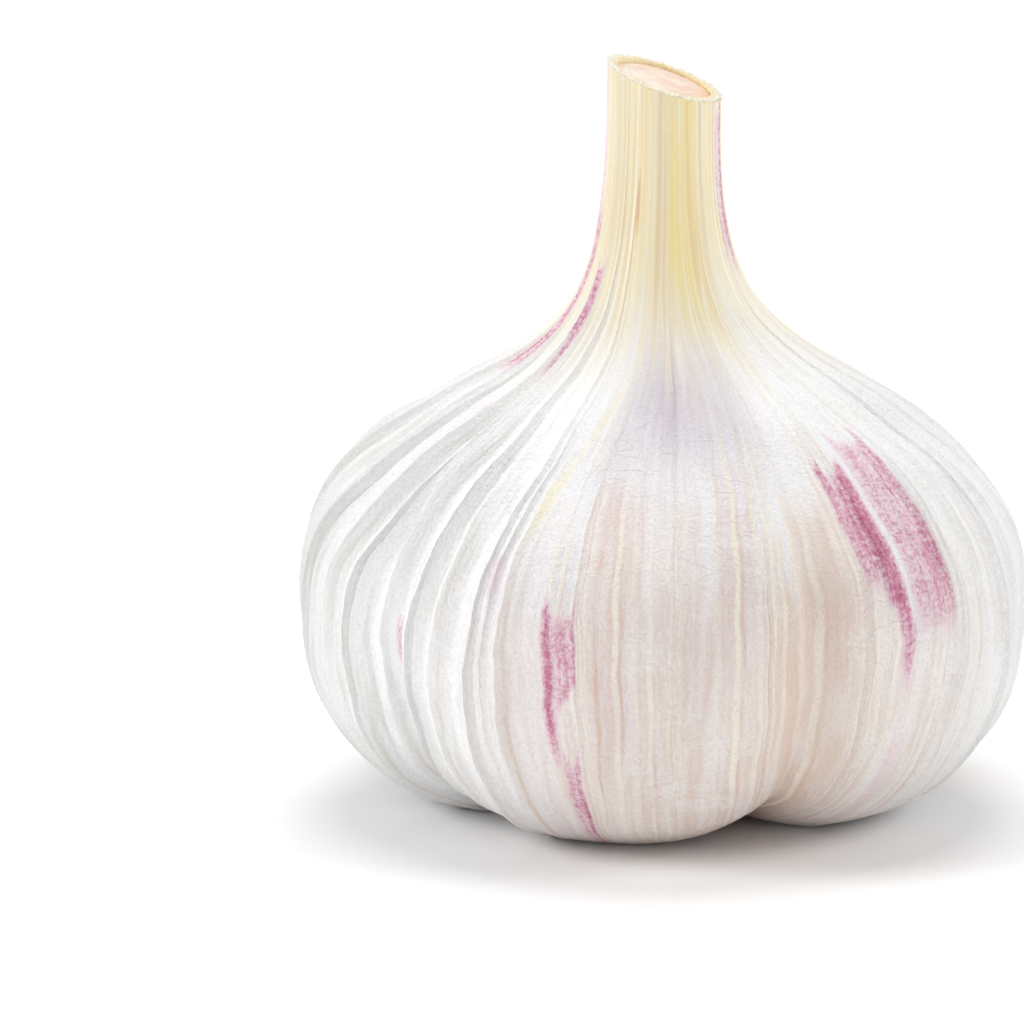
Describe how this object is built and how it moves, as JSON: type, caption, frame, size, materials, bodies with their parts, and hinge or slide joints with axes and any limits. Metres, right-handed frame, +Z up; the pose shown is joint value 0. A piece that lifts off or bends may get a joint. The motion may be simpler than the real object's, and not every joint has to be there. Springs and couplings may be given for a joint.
{
  "type": "garlic bulb",
  "caption": "Whole garlic bulb standing upright: cloves under pleated papery skin drawn up into a slanted cut neck, with a flower stalk inside and a corky root plate underneath.",
  "frame": {"origin": "on the surface that the bulb stands on, below the middle of its width", "axes": "+Z up along the neck, -Y to the front of the bulb, +X to its right"},
  "size_m": [0.0654, 0.0656, 0.0675],
  "materials": {
    "papery_skin": "thin dry skin, satin, white to pinkish with purple-pink streaks and a cream-yellow neck",
    "stalk_flesh": "freshly cut pith, matt, pale pinkish cream",
    "root_cork": "dry cork with fibrous root stubs, matt, tan"
  },
  "bodies": {
    "root": {"wrapped_bulb": "papery_skin", "flower_stalk": "stalk_flesh", "root_plate": "root_cork"}
  },
  "joints": []
}
